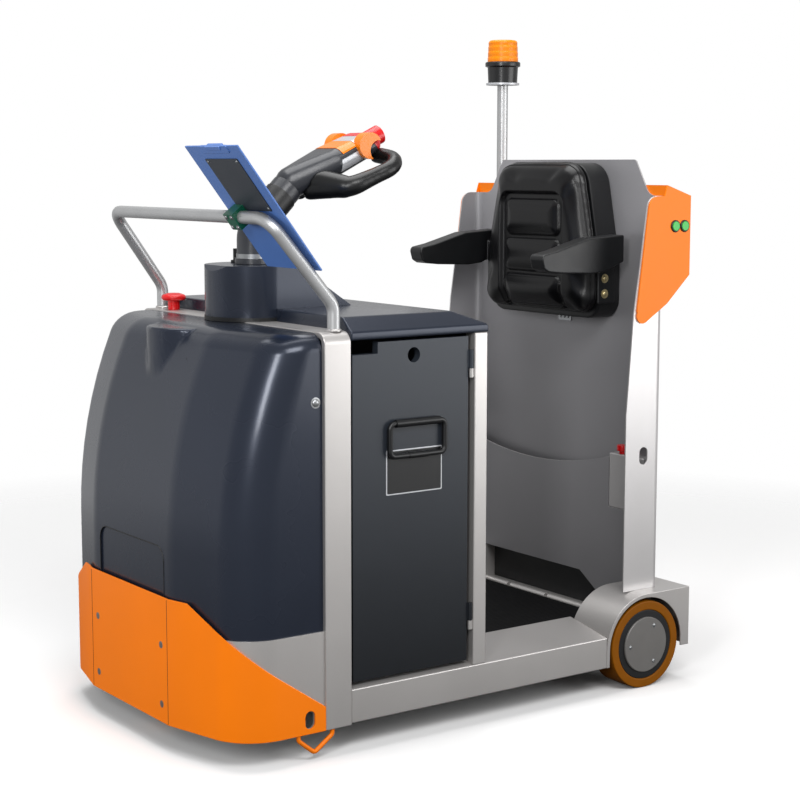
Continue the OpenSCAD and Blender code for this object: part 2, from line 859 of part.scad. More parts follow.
module rear_fairing() color("darkorange") whole()
    difference() {
        union() {
            both_sides()
                along_y(wall_half + gap, wall_half + gap + sheet_t)
                    polygon(concat(
                        [
                            [-fairing_x, wing_z], [wall_back, fairing_top], [wall_back + 8, wing_z]
                        ],
                        arc(wing_front - 85, wing_z - 29, 28, 90, 8, 6),
                        [[wing_front - 25, fairing_low + 28]],
                        arc(wing_front - 43, fairing_low + 18, 18, 30, -120, 8),
                        [[-wall_x - 9, fairing_low + 44], [-fairing_x, fairing_low + 110]]
                    ));
            along_y(-wall_half - gap, wall_half + gap)
                difference() {
                    polygon([
                        [wall_back, fairing_top], [-fairing_x, wing_z], [-fairing_x, fairing_low + 110],
                        [-wall_x - 9, fairing_low + 44], [wall_back, fairing_low + 40]
                    ]);
                    polygon([
                        [wall_back + 1, wing_z - 30], [wall_back - sheet_t, wing_z - 30],
                        [wall_back - sheet_t, fairing_top - 2 * sheet_t],
                        [-fairing_x + sheet_t, wing_z - sheet_t],
                        [-fairing_x + sheet_t, fairing_low + 112], [-wall_x - 9, fairing_low + 49],
                        [wall_back + 1, fairing_low + 45]
                    ]);
                }
        }
        translate([pole_x, -pole_y, wing_z - 105]) cylinder(r = pole_r + gap, h = 300);
    }

module jog_buttons() color([0.1, 0.7, 0.2]) whole()
    both_sides()
        for (x = [-105, -135]) {
            y = wall_half + gap + sheet_t;
            bar_y(x, wing_z - 71, 11, y, y + 5);
        }

module rear_switch_box() color([0.7, 0.7, 0.72]) whole()
    block([-wall_x, pocket_y1 + 1, switch_z], [pocket_x + sheet_t, wall_half - wall_r, switch_z + switch_h]);

module rear_stop_button() color("red") whole()
    translate([pocket_x - 8, wall_half - 106, switch_z + switch_h]) {
        cylinder(r = 9, h = 8);
        translate([0, 0, 8]) cylinder(r = 15, h = 14);
    }

// Wheel arches and rear axle

// Outline of an arch seen from the side, inset by d
module arch_side(d) {
    difference() {
        union() {
            translate([0, rear_r]) circle(r = arch_r - d);
            translate([-arch_back + d, arch_low]) square([arch_back - d, arch_z - d - arch_low]);
            translate([0, sill_z]) square([arch_r - d, rear_r - sill_z]);
        }
        translate([-arch_r - 1, -arch_r]) square([arch_r + 1, arch_r + arch_low]);
        translate([-1, -arch_r]) square([arch_r + 2, arch_r + sill_z]);
        translate([-arch_r - 1, arch_z - d]) square([2 * arch_r + 2, 50]);
    }
}

module wheel_arches() color("silver") whole()
    both_sides()
        difference() {
            along_y(sill_in, half_w) arch_side(0);
            along_y(sill_in + sheet_t, half_w - sheet_t)
                union() {
                    arch_side(sheet_t);
                    translate([-arch_back + sheet_t, 0]) square([arch_back + arch_r - 2 * sheet_t, rear_r]);
                }
            bar_y(0, rear_r, arch_hole_r, half_w - 2 * sheet_t, half_w + 1);
            block([-arch_hole_r, half_w - 2 * sheet_t, 0], [arch_hole_r, half_w + 1, rear_r]);
        }

module rear_axles() color([0.4, 0.4, 0.42]) whole()
    both_sides() {
        bar_y(0, rear_r, stub_r, sill_in + sheet_t, half_w - 16);
        bar_y(0, rear_r, stub_r + 18, sill_in + sheet_t, sill_in + sheet_t + 14);
    }

module rear_hub() {
    y1 = half_w - 4;
    y0 = y1 - rear_w + 8;
    difference() {
        union() {
            bar_y(0, rear_r, rear_r - rear_tyre_t - 0.2, y0, y1);
            bar_y(0, rear_r, 65, y1, half_w);
        }
        bar_y(0, rear_r, stub_r + 0.05, y0 - 1, half_w - 14);
    }
}

module rear_tyre()
    difference() {
        bar_y(0, rear_r, rear_r, half_w - 2 - rear_w, half_w - 2);
        bar_y(0, rear_r, rear_r - rear_tyre_t, half_w - 3 - rear_w, half_w - 1);
    }

module rear_hub_left() color([0.35, 0.35, 0.37]) whole() rear_hub();
module rear_hub_right() color([0.35, 0.35, 0.37]) whole() mirror([0, 1, 0]) rear_hub();
module rear_tyre_left() color([0.75, 0.4, 0.05]) whole() rear_tyre();
module rear_tyre_right() color([0.75, 0.4, 0.05]) whole() mirror([0, 1, 0]) rear_tyre();

// Tow coupling

tow_x = -arch_back - 32;
tow_hole = 11;

module tow_coupling() color([0.1, 0.1, 0.1]) whole() {
    block([-arch_back - 12, -45, 95], [-arch_back, 45, 212]);
    for (z = [100, 148, 196])
        difference() {
            union() {
                block([tow_x, -40, z], [-arch_back - 12, 40, z + 12]);
                intersection() {
                    translate([tow_x, 0, z]) cylinder(r = 40, h = 12);
                    block([-rear_reach, -40, z], [tow_x, 40, z + 12]);
                }
            }
            translate([tow_x, 0, z - 1]) cylinder(r = tow_hole, h = 14);
        }
}

module tow_pin() color("silver") whole() {
    translate([tow_x, 0, 92]) cylinder(r = tow_hole - gap, h = 116 + gap);
    translate([tow_x, 0, 208]) cylinder(r = 17, h = 8);
    translate([0, 0, 216])
        tube_path([
            [tow_x, -12, -4], [tow_x, -12, 34], [tow_x, 12, 34], [tow_x, 12, -4]
        ], 4, 10, [1, 0, 0], 12, 5);
}

// Backrest

// Outline of the backrest seen from the front
function back_edge(half, z0, z1) = concat(
    arc(half - 45, z0 + 45, 45, 270, 360, 6),
    [[half, z0 + 0.36 * (z1 - z0)]],
    arc(half - 100, z1 - 60, 60, 15, 90, 6)
);

module back_outline(half, z0, z1) {
    e = back_edge(half, z0, z1);
    polygon(concat(e, mirrored(e)));
}

module backrest_shell() color([0.07, 0.07, 0.08]) whole()
    along_x(-wall_x, shell_front) back_outline(shell_half, back_z - 13, back_z + back_h - 2);

module backrest_cushion() color([0.05, 0.05, 0.05]) whole()
    along_x(shell_front + gap, shell_front + back_t) back_outline(back_half, back_z, back_z + back_h);

module armrests() color([0.08, 0.08, 0.09]) whole() {
    top = back_z + arm_rise;
    tip = shell_front + arm_l;
    both_sides() {
        along_y(shell_half + 8, shell_half + 8 + arm_w)
            polygon(concat(
                [
                    [shell_front - 28, top - 64], [shell_front - 28, top],
                    [shell_front + 82, top - 7], [tip - 44, top - 34]
                ],
                arc(tip - 12, top - 52, 12, 70, -20, 5),
                [
                    [tip - 6, top - 74], [tip - 20, top - 82], [tip - 58, top - 86],
                    [shell_front + 70, top - 90], [shell_front + 30, top - 86]
                ]
            ));
        block([shell_front - 44, shell_half, back_z + 25], [shell_front + 10, shell_half + 8, top - 30]);
    }
}

// Beacon

module beacon_pole() color("silver") whole() {
    translate([pole_x, -pole_y, wing_z - 105]) cylinder(r = pole_r, h = base_z - wing_z + 105);
    for (z = [wing_z - 90, wing_z - 58])
        block([pole_x, -pole_y - 8, z], [wall_back, -pole_y + 8, z + 24]);
}

// Foot plate, body and the ring that holds the lens
module beacon_base() color([0.06, 0.06, 0.07]) whole()
    translate([pole_x, -pole_y, base_z])
        rotate_extrude()
            polygon([
                [0, 0], [lens_d / 2 + 3, 0], [lens_d / 2 + 3, 5], [lens_d / 2 - 2, 5],
                [lens_d / 2, base_h - 14], [lens_d / 2 + 6, base_h - 12],
                [lens_d / 2 + 6, base_h - 2], [lens_d / 2 + 3, base_h], [0, base_h]
            ]);

// Tapered lens with ribs
module beacon_lens() color([1, 0.45, 0.05]) whole() {
    rib = lens_h / 4;
    translate([pole_x, -pole_y, beacon_z - lens_h])
        rotate_extrude()
            polygon(concat(
                [[0, 0]],
                [for (i = [0 : 2], q = [[0, 0], [0, rib - 3], [-1.2, rib - 1.5]])
                    [lens_d / 2 - 0.7 * i + q[0], i * rib + q[1]]],
                arc(lens_d / 2 - 10, lens_h - 8, 8, 0, 90, 6),
                [[0, lens_h]]
            ));
}

// Drive unit under the hood

module drive_unit() color([0.3, 0.3, 0.32]) whole() translate([drive_x, 0, 0]) {
    top = skirt_z + gap;
    translate([0, 0, top]) cylinder(r = turn_r, h = 12);
    translate([0, 0, drive_d + 9]) cylinder(r = mount_bore - 0.5, h = top - drive_d - 9);
    translate([0, 0, top + 12]) cylinder(r = motor_r, h = motor_top - top - 12);
    block([-55, leg_y0, drive_r - 55], [55, leg_y1, drive_d + 9]);
    bar_y(0, drive_r, drive_axle_r, -drive_w / 2 + 4, leg_y0);
}

module drive_hub() color([0.35, 0.35, 0.37]) whole() translate([drive_x, 0, 0])
    difference() {
        bar_y(0, drive_r, drive_r - drive_tyre_t - 0.2, -drive_w / 2 + 2, drive_w / 2 - 2);
        bar_y(0, drive_r, drive_axle_r + 0.05, -drive_w / 2, drive_w / 2);
    }

module drive_tyre() color([0.75, 0.4, 0.05]) whole() translate([drive_x, 0, 0])
    difference() {
        bar_y(0, drive_r, drive_r, -drive_w / 2, drive_w / 2);
        bar_y(0, drive_r, drive_r - drive_tyre_t, -drive_w / 2 - 1, drive_w / 2 + 1);
    }

chassis_frame();
portal();
battery_posts();
bulkhead();
front_skirt();
bumper();
hood();
console();
battery_cover();
battery();
platform_mat();
platform_hinge_rod();
rear_wall();
storage_pocket();
kick_panel();
rear_fairing();
wheel_arches();
rear_axles();
tow_coupling();
tow_pin();
backrest_shell();
backrest_cushion();
armrests();
beacon_pole();
beacon_base();
beacon_lens();
handrail();
emergency_stop();
document_board();
board_clamp();
key_switch();
jog_buttons();
rear_switch_box();
rear_stop_button();
front_hooks();
door_hinge_pins();
drive_mount();
tiller_column();
tiller_head();
tiller_grips();
tiller_throttle();
tiller_stop_button();
battery_door_left();
battery_door_right();
door_bail_left();
door_bail_right();
drive_unit();
drive_hub();
drive_tyre();
rear_hub_left();
rear_tyre_left();
rear_hub_right();
rear_tyre_right();
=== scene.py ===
import json
import math

import bmesh
import bpy
from mathutils import Matrix, Vector
from mathutils.bvhtree import BVHTree


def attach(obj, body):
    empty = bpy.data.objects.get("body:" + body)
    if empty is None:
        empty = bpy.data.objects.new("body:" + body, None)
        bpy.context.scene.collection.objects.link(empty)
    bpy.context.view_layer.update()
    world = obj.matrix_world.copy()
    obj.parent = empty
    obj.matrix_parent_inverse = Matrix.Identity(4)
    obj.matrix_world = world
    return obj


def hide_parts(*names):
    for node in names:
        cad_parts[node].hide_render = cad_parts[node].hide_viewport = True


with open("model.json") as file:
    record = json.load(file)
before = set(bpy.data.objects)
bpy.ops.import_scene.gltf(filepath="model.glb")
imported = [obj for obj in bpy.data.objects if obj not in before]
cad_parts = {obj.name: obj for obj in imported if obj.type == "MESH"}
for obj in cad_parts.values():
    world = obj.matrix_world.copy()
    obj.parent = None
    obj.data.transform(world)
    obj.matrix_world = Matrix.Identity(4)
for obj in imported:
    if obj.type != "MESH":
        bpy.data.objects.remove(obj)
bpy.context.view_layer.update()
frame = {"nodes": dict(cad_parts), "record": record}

record = frame["record"]
bodyOf = {n: b for b, names in record["behaviour"]["bodies"].items() for n in names}
slotOf = {s["node"]: s["material_slot"] for s in record["subparts"]}
midX = 483.5  # millimetres from the rear axle to the middle of the machine
forward, leftward, upward = (1, 0, 0), (0, 1, 0), (0, 0, 1)
bothSides = ((1, "left"), (-1, "right"))


def at(x, y, z):  # a place given in millimetres from the rear axle
    return Vector((x - midX, y, z)) / 1000


def measured(spot):  # a place in the frame, in millimetres from the rear axle
    return spot.x * 1000 + midX, spot.y * 1000, spot.z * 1000


def tint(code):  # a written colour as linear light
    parts = [int(code[i:i + 2], 16) / 255 for i in (0, 2, 4)]
    return tuple(c / 12.92 if c < 0.04045 else ((c + 0.055) / 1.055) ** 2.4 for c in parts) + (1.0,)


print("stage 1: camera, light and floor")

photoView = {
    "place": (2.3841, 3.4231, 1.2364),
    "right": (-0.815129, 0.579279, 0.000782),
    "down": (0.075188, 0.107139, -0.991397),
    "ahead": (-0.574379, -0.808058, -0.130887),
    "lens": 80.1, "sensor": 36, "reach": 100,
}


def makeCamera(view):
    data = bpy.data.cameras.new("photoCamera")
    data.sensor_width = view["sensor"]
    data.lens = view["lens"]
    data.clip_end = view["reach"]
    camera = bpy.data.objects.new("photoCamera", data)
    bpy.context.scene.collection.objects.link(camera)
    right, up, back = Vector(view["right"]), -Vector(view["down"]), -Vector(view["ahead"])
    camera.matrix_world = Matrix.Translation(view["place"]) @ Matrix((right, up, back)).transposed().to_4x4()
    bpy.context.scene.camera = camera


studioLamps = {
    "keyLamp": {"place": (1.0, 3.4, 3.4), "target": (0.1, 0, 0.8), "size": (2.2, 1.4), "power": 108},
    "frontPanel": {"place": (3.6, -2.4, 1.4), "target": (0.6, 0, 0.5), "size": (3.4, 3.0), "power": 9},
    "cornerStrip": {"place": (2.95, 2.5, 1.9), "target": (0.55, 0.3, 0.65), "size": (0.55, 1.2), "power": 50},
    "frontFill": {"place": (3.4, -0.9, 0.75), "target": (0.6, 0, 0.3), "size": (2.0, 1.0), "power": 42,
                  "mirrored": False},
    "rearPanel": {"place": (-2.3, 2.9, 1.15), "target": (-0.1, 0, 0.75), "size": (2.4, 1.8), "power": 50},
    "topLamp": {"place": (0, -0.4, 4.2), "target": (0, 0, 0.5), "size": (3.0, 3.0), "power": 120},
}


def makeLamps(lamps):
    for name, lamp in lamps.items():
        data = bpy.data.lights.new(name, "AREA")
        data.shape = "RECTANGLE"
        data.size, data.size_y = lamp["size"]
        data.energy = lamp["power"]
        made = bpy.data.objects.new(name, data)
        made.location = lamp["place"]
        made.visible_glossy = lamp.get("mirrored", True)
        ahead = Vector(lamp["target"]) - Vector(lamp["place"])
        made.rotation_euler = ahead.to_track_quat("-Z", "Y").to_euler()
        bpy.context.scene.collection.objects.link(made)


class Wire:  # a socket that takes part in Python sums
    def __init__(self, tree, socket):
        self.tree, self.socket = tree, socket

    def maths(self, operation, other):
        return addNode(self.tree, "ShaderNodeMath", {"operation": operation}, {0: self, 1: other})

    def __add__(self, other):
        return self.maths("ADD", other)

    def __mul__(self, other):
        return self.maths("MULTIPLY", other)

    def greater(self, other):
        return self.maths("MAXIMUM", other)

    def wave(self):
        return self.maths("SINE", 0.0)


def addNode(tree, kind, settings=None, sockets=None, out=0):
    made = tree.nodes.new(kind)
    for key, value in (settings or {}).items():
        setattr(made, key, value)
    for key, value in (sockets or {}).items():
        if isinstance(value, Wire):
            tree.links.new(value.socket, made.inputs[key])
        else:
            made.inputs[key].default_value = value
    return Wire(tree, made.outputs[out])


class Finish:  # one material, built on the piece's own coordinates
    def __init__(self, name, colour, roughness, metallic=0.0, **fixed):
        self.material = bpy.data.materials.new(name)
        self.material.use_nodes = True
        self.tree = self.material.node_tree
        self.shader = self.tree.nodes["Principled BSDF"]
        self.colour = tint(colour)
        self.roughness = roughness
        self.fix("Base Color", self.colour)
        self.fix("Roughness", roughness)
        self.fix("Metallic", metallic)
        for key, value in fixed.items():
            self.fix(key.replace("_", " "), value)
        self.place = self.node("ShaderNodeTexCoord", out="Object")

    def fix(self, socket, value):
        self.shader.inputs[socket].default_value = value

    def node(self, kind, settings=None, sockets=None, out=0):
        return addNode(self.tree, kind, settings, sockets, out)

    def noise(self, scale, detail):
        return self.node("ShaderNodeTexNoise", None, {"Vector": self.place, "Scale": scale, "Detail": detail})

    def cells(self, scale, feature="F1", out="Distance"):
        return self.node("ShaderNodeTexVoronoi", {"feature": feature}, {"Vector": self.place, "Scale": scale}, out)

    def axis(self, letter):
        return self.node("ShaderNodeSeparateXYZ", None, {0: self.place}, letter.upper())

    def ramp(self, wire, low, high):
        return self.node("ShaderNodeMapRange", None, {"Value": wire, "From Min": low, "From Max": high})

    def blend(self, factor, first, second):
        return self.node("ShaderNodeMix", {"data_type": "RGBA"}, {0: factor, 6: first, 7: second}, 2)

    def feed(self, socket, wire):
        self.tree.links.new(wire.socket, self.shader.inputs[socket])
        return self

    def vary(self, wire, darker, lighter, spread):  # colour and roughness follow one pattern
        first = tuple(c * darker for c in self.colour[:3]) + (1.0,)
        second = tuple(min(1.0, c * lighter) for c in self.colour[:3]) + (1.0,)
        self.feed("Base Color", self.blend(wire, first, second))
        return self.feed("Roughness", wire * spread + (self.roughness - spread / 2))

    def bump(self, height, depth):
        return self.feed("Normal", self.node("ShaderNodeBump", None, {"Height": height, "Distance": depth}, "Normal"))


studioFloor = {"radius": 9, "segments": 96, "fade": (1.3, 3.2), "seen": "F7F7F7", "shade": "6C6C6C"}


def makeFloor(shape):  # pale to the camera, greyer to other rays, clear further out
    floor = bmesh.new()
    bmesh.ops.create_circle(floor, cap_ends=True, segments=shape["segments"], radius=shape["radius"])
    mesh = bpy.data.meshes.new("studioFloor")
    floor.to_mesh(mesh)
    floor.free()
    ground = bpy.data.objects.new("studioFloor", mesh)
    bpy.context.scene.collection.objects.link(ground)
    pale = Finish("floorPale", shape["seen"], 0.9, Specular_IOR_Level=0.0)
    seen = pale.node("ShaderNodeLightPath", out="Is Camera Ray")
    pale.feed("Base Color", pale.blend(seen, tint(shape["shade"]), pale.colour))
    radius = pale.node("ShaderNodeVectorMath", {"operation": "LENGTH"}, {0: pale.place}, "Value")
    clear = pale.node("ShaderNodeBsdfTransparent")
    solid = Wire(pale.tree, pale.shader.outputs[0])
    mixed = pale.node("ShaderNodeMixShader", None, {0: pale.ramp(radius, *shape["fade"]), 1: solid, 2: clear})
    pale.tree.links.new(mixed.socket, pale.tree.nodes["Material Output"].inputs["Surface"])
    mesh.materials.append(pale.material)


worldLight = {"level": 0.22, "mirrored": 0.5}  # light on the object, and the share of white that reflections see


def makeWorld(light):
    world = bpy.data.worlds.new("studioWorld")
    world.use_nodes = True
    bpy.context.scene.world = world
    tree = world.node_tree
    back = tree.nodes["Background"]
    back.inputs["Color"].default_value = (1, 1, 1, 1)
    camera = addNode(tree, "ShaderNodeLightPath", out="Is Camera Ray")
    clear = addNode(tree, "ShaderNodeLightPath", out="Is Transmission Ray")
    mirrored = addNode(tree, "ShaderNodeLightPath", out="Is Glossy Ray")
    seen = camera.greater(clear).greater(mirrored * light["mirrored"])
    tree.links.new((seen * (1 - light["level"]) + light["level"]).socket, back.inputs["Strength"])


makeCamera(photoView)
makeLamps(studioLamps)
makeFloor(studioFloor)
makeWorld(worldLight)
bpy.context.scene.view_settings.view_transform = "Standard"

print("stage 2: finishes")


def speckled(name, colour, roughness, metallic=0.0, cloud=40, tones=(0.85, 1.15), spread=0.1, grain=900, depth=0.0001,
             **fixed):  # soft clouds in colour and roughness, fine grain in the surface
    finish = Finish(name, colour, roughness, metallic, **fixed)
    finish.vary(finish.noise(cloud, 3), *tones, spread)
    return finish.bump(finish.noise(grain, 2), depth)


slateGloss = speckled("slateGloss", "191E29", 0.27, cloud=6, tones=(0.86, 1.12), spread=0.08, grain=420, depth=0.00003,
                      Specular_IOR_Level=0.36, Specular_Tint=tint("D8E2FA"), Coat_Weight=0.25, Coat_Roughness=0.16)
darkPaint = speckled("darkPaint", "1E2023", 0.48, cloud=9, tones=(0.88, 1.1))
orangePaint = speckled("orangePaint", "F27A04", 0.4, cloud=7, tones=(0.95, 1.04), spread=0.08, grain=700,
                       Specular_IOR_Level=0.25)
orangeMoulding = speckled("orangeMoulding", "EC7C06", 0.3, tones=(0.94, 1.05), spread=0.06, depth=0.00006)
blackMoulding = speckled("blackMoulding", "0B0C0E", 0.42, cloud=30, grain=1400, depth=0.00008,
                         Specular_IOR_Level=0.42)
blackSteel = speckled("blackSteel", "0A0B0D", 0.36, 0.2, cloud=20, spread=0.12, grain=800, depth=0.00008)
blackGloss = speckled("blackGloss", "0B0C0E", 0.3, cloud=30, spread=0.06, grain=1200, depth=0.00001)
rubberGrip = speckled("rubberGrip", "090A0B", 0.34, cloud=25, grain=1200, depth=0.00004, Specular_IOR_Level=0.4)
greyMoulding = speckled("greyMoulding", "2B2D32", 0.32, cloud=25, tones=(0.9, 1.1), grain=1100)
paleMoulding = speckled("paleMoulding", "BCBEC2", 0.32, 0.3, cloud=25, tones=(0.95, 1.05), spread=0.06, grain=1000,
                        depth=0.00006)
redMoulding = speckled("redMoulding", "CE0E12", 0.28, tones=(0.9, 1.05), spread=0.06, depth=0.00005)
greenMoulding = speckled("greenMoulding", "06523C", 0.36, tones=(0.9, 1.08), spread=0.06, depth=0.00005)
greenButton = speckled("greenButton", "12AE34", 0.3, tones=(0.92, 1.06), spread=0.06, depth=0.00004)
bluePlate = speckled("bluePlate", "4F73B4", 0.42, cloud=18, tones=(0.94, 1.05), depth=0.00008)
darkPanel = speckled("darkPanel", "2A2F37", 0.45, cloud=18, tones=(0.92, 1.06), depth=0.00006)
hubCap = speckled("hubCap", "6E6C6A", 0.45, 0.35, cloud=30, tones=(0.92, 1.06), grain=1000, depth=0.00012)
railSteel = speckled("railSteel", "B4B5B6", 0.38, 0.7, cloud=24, tones=(0.92, 1.04), spread=0.04, grain=700,
                     depth=0.000003)
boltSteel = speckled("boltSteel", "9A9C9E", 0.32, 0.9, cloud=120, tones=(0.85, 1.1), spread=0.15, grain=1500,
                     depth=0.00004)
brassSteel = speckled("brassSteel", "C9B98C", 0.32, 0.85, cloud=120, tones=(0.85, 1.1), spread=0.15, grain=1500,
                      depth=0.00004)

doorPaintedLight = {"heights": (0.16, 0.86), "share": 0.85, "tones": (0.34, 1.95), "spread": 0.08}  # painted shade low on the door, painted light paler towards the top


def makeDoorPaint(fade):
    finish = Finish("doorPaint", "1E2228", 0.36, Specular_IOR_Level=0.34, Coat_Weight=0.08, Coat_Roughness=0.25)
    # the rise with height is painted shade and light, mixed with a little random tone
    rise = finish.ramp(finish.axis("z"), *fade["heights"])
    finish.vary(rise * fade["share"] + finish.noise(9, 3) * (1 - fade["share"]), *fade["tones"], fade["spread"])
    return finish.bump(finish.noise(900, 2), 0.0001)


# fade: the share of painted shade and light with height, where heights are given
silverFlakes = {"scale": 2600, "share": 0.35, "lighter": 1.08, "spread": 0.1, "fade": 0.75}


def makeSilver(name, colour, roughness, metallic, dim=0.9, heights=None):  # with heights it is paler towards the top between them: painted shade low, painted light high
    finish = Finish(name, colour, roughness, metallic)
    flakes = finish.cells(silverFlakes["scale"], out="Color")
    flake = finish.node("ShaderNodeSeparateColor", None, {0: flakes}, "Red")
    cloud = flake * silverFlakes["share"] + finish.noise(5, 3) * (1 - silverFlakes["share"])
    # painted shade low and painted light high between the heights
    if heights:
        rise = finish.ramp(finish.axis("z"), *heights)
        cloud = rise * silverFlakes["fade"] + cloud * (1 - silverFlakes["fade"])
    finish.vary(cloud, dim, silverFlakes["lighter"], silverFlakes["spread"])
    return finish.bump(finish.noise(600, 2), 0.00003)


leatherPores = {"scale": 620, "edge": 0.35, "depth": 0.00005}


def makeLeather(pores):
    finish = Finish("paddedBlack", "08080A", 0.3, Specular_IOR_Level=0.3)
    finish.vary(finish.noise(14, 3), 0.82, 1.18, 0.12)
    edges = finish.cells(pores["scale"], "DISTANCE_TO_EDGE")
    return finish.bump(finish.ramp(edges, 0.0, pores["edge"]), pores["depth"])


matRibs = {"turn": 620.0, "slope": (0.1, 0.7), "depth": 0.0014}  # a rib each 10 mm


def makeMat(ribs):
    finish = Finish("ribbedMat", "070708", 0.7, Specular_IOR_Level=0.1)
    finish.vary(finish.noise(22, 3), 0.75, 1.25, 0.14)
    return finish.bump(finish.ramp((finish.axis("y") * ribs["turn"]).wave(), *ribs["slope"]), ribs["depth"])


def makeAmber():
    finish = Finish("amberTread", "804A04", 0.45, Specular_IOR_Level=0.12)
    finish.vary(finish.noise(35, 4), 0.86, 1.1, 0.14)
    return finish.bump(finish.noise(260, 3), 0.0002)


lensRings = {"turn": 420.0, "share": 0.6, "paintedGlow": "FF7A08"}  # a ring each 15 mm of painted shade for the lens's ribs, and a faint painted glow


def makeLens(rings):
    # faint emission: a painted glow, as the beacon is no lamp here
    finish = Finish("amberLens", "F48A06", 0.34, Specular_IOR_Level=0.3, Emission_Strength=0.1,
                    Emission_Color=tint(rings["paintedGlow"]))
    # the rings are painted shade for the lens's ribs
    bands = finish.ramp((finish.axis("z") * rings["turn"]).wave(), -1.0, 1.0)
    return finish.vary(bands * rings["share"] + finish.noise(90, 2) * (1 - rings["share"]), 0.72, 1.06, 0.02)


doorPaint = makeDoorPaint(doorPaintedLight)
silverPaint = makeSilver("silverPaint", "BDBAB8", 0.34, 0.65)
wallPaint = makeSilver("wallPaint", "C2C0C0", 0.34, 0.6)
# darker copy of the wall's paint for its inner faces as painted shade, paler towards the top as painted light
wallPaintedShade = makeSilver("wallPaintedShade", "969598", 0.42, 0.3, 0.62, (0.25, 0.85))
paddedBlack = makeLeather(leatherPores)
ribbedMat = makeMat(matRibs)
amberTread = makeAmber()
amberLens = makeLens(lensRings)

print("stage 3: CAD nodes, edges rounded")

weldGap = 1e-5
flatAngle = math.radians(0.6)


def cadCopy(node):  # merged copy of a CAD node
    bm = bmesh.new()
    bm.from_mesh(frame["nodes"][node].data)
    bmesh.ops.remove_doubles(bm, verts=bm.verts, dist=weldGap)
    bmesh.ops.dissolve_limit(bm, angle_limit=flatAngle, verts=bm.verts, edges=bm.edges)
    return bm


def roundEdges(bm, width, segments=2, low=28, picked=None):
    edges = [e for e in bm.edges if e.is_manifold and e.calc_face_angle(0) > math.radians(low)
             and (picked is None or picked(e))]
    bmesh.ops.bevel(bm, geom=edges, offset=width, segments=segments, profile=0.5, affect="EDGES",
                    material=-1, clamp_overlap=True, offset_type="OFFSET")


def piece(name, bm, finish, body, slot=None, stands=(), sharp=32, weighted=True, lining=None):
    mesh = bpy.data.meshes.new(name)
    bm.to_mesh(mesh)
    bm.free()
    mesh.polygons.foreach_set("use_smooth", [True] * len(mesh.polygons))
    mesh.set_sharp_from_angle(angle=math.radians(sharp))
    mesh.materials.append(finish.material)
    if lining:  # a second finish on the faces that its test picks
        other, picked = lining
        mesh.materials.append(other.material)
        for face in mesh.polygons:
            face.material_index = int(picked(face.center, face.normal))
    made = bpy.data.objects.new(name, mesh)
    bpy.context.scene.collection.objects.link(made)
    if weighted:
        normals = made.modifiers.new("faceNormals", "WEIGHTED_NORMAL")
        normals.keep_sharp = True
    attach(made, body)
    if stands:
        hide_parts(*stands)
        slot = slot or slotOf[stands[0]]
    return made


def repaint(node, finish):
    mesh = frame["nodes"][node].data
    mesh.materials.clear()
    mesh.materials.append(finish.material)


def lathe(profile, place, way=upward, steps=32):  # turned part, radius and height in millimetres
    bm = bmesh.new()
    spots = [bm.verts.new((r / 1000, 0, h / 1000)) for r, h in profile]
    edges = [bm.edges.new(pair) for pair in zip(spots, spots[1:])]
    bmesh.ops.spin(bm, geom=spots + edges, cent=(0, 0, 0), axis=upward, angle=math.tau, steps=steps, use_merge=True)
    bmesh.ops.remove_doubles(bm, verts=bm.verts, dist=weldGap)
    bmesh.ops.recalc_face_normals(bm, faces=bm.faces)
    turn = Vector(upward).rotation_difference(Vector(way)).to_matrix().to_4x4()
    bmesh.ops.transform(bm, matrix=Matrix.Translation(at(*place)) @ turn, verts=bm.verts)
    return bm


def plane(place, across, out):  # matrix of a flat place: x runs across, z stands out of it
    x, z = Vector(across).normalized(), Vector(out).normalized()
    return Matrix.Translation(at(*place)) @ Matrix((x, z.cross(x), z)).transposed().to_4x4()


def roundBox(halfWide, halfHigh, radius, steps=6):  # outline of a rectangle with round corners
    spots = []
    for turn, (sx, sy) in enumerate(((1, 1), (-1, 1), (-1, -1), (1, -1))):
        x, y = sx * (halfWide - radius), sy * (halfHigh - radius)
        for i in range(steps + 1):
            a = math.radians(90 * turn + 90 * i / steps)
            spots.append((x + radius * math.cos(a), y + radius * math.sin(a)))
    return spots


def slab(outline, thick, where):  # flat plate on a plane
    bm = bmesh.new()
    face = bm.faces.new([bm.verts.new((x / 1000, y / 1000, 0)) for x, y in outline])
    grown = bmesh.ops.extrude_face_region(bm, geom=[face])
    bmesh.ops.translate(bm, verts=[v for v in grown["geom"] if isinstance(v, bmesh.types.BMVert)],
                        vec=(0, 0, thick / 1000))
    bmesh.ops.recalc_face_normals(bm, faces=bm.faces)
    bmesh.ops.transform(bm, matrix=where, verts=bm.verts)
    return bm


def sweep(path, radius, sides=10, closed=False):  # round cord along points in metres
    bm = bmesh.new()
    count = len(path)
    rings = []
    side = None
    for i, spot in enumerate(path):
        before = path[i - 1] if closed or i else spot
        after = path[(i + 1) % count] if closed or i < count - 1 else spot
        ahead = (after - before).normalized()
        side = ahead.orthogonal() if side is None else side - ahead * side.dot(ahead)
        side.normalize()
        other = ahead.cross(side)
        rings.append([bm.verts.new(spot + radius * (math.cos(a) * side + math.sin(a) * other))
                      for a in (math.tau * k / sides for k in range(sides))])
    for i in range(count if closed else count - 1):
        low, high = rings[i], rings[(i + 1) % count]
        for k in range(sides):
            bm.faces.new((low[k], low[(k + 1) % sides], high[(k + 1) % sides], high[k]))
    if not closed:
        bm.faces.new(rings[0][::-1])
        bm.faces.new(rings[-1])
    bmesh.ops.recalc_face_normals(bm, faces=bm.faces)
    return bm


def joined(parts):
    whole = bmesh.new()
    for part in parts:
        mesh = bpy.data.meshes.new("joinedPart")
        part.to_mesh(mesh)
        part.free()
        whole.from_mesh(mesh)
        bpy.data.meshes.remove(mesh)
    return whole


def everything(bm):
    return bm.verts[:] + bm.edges[:] + bm.faces[:]


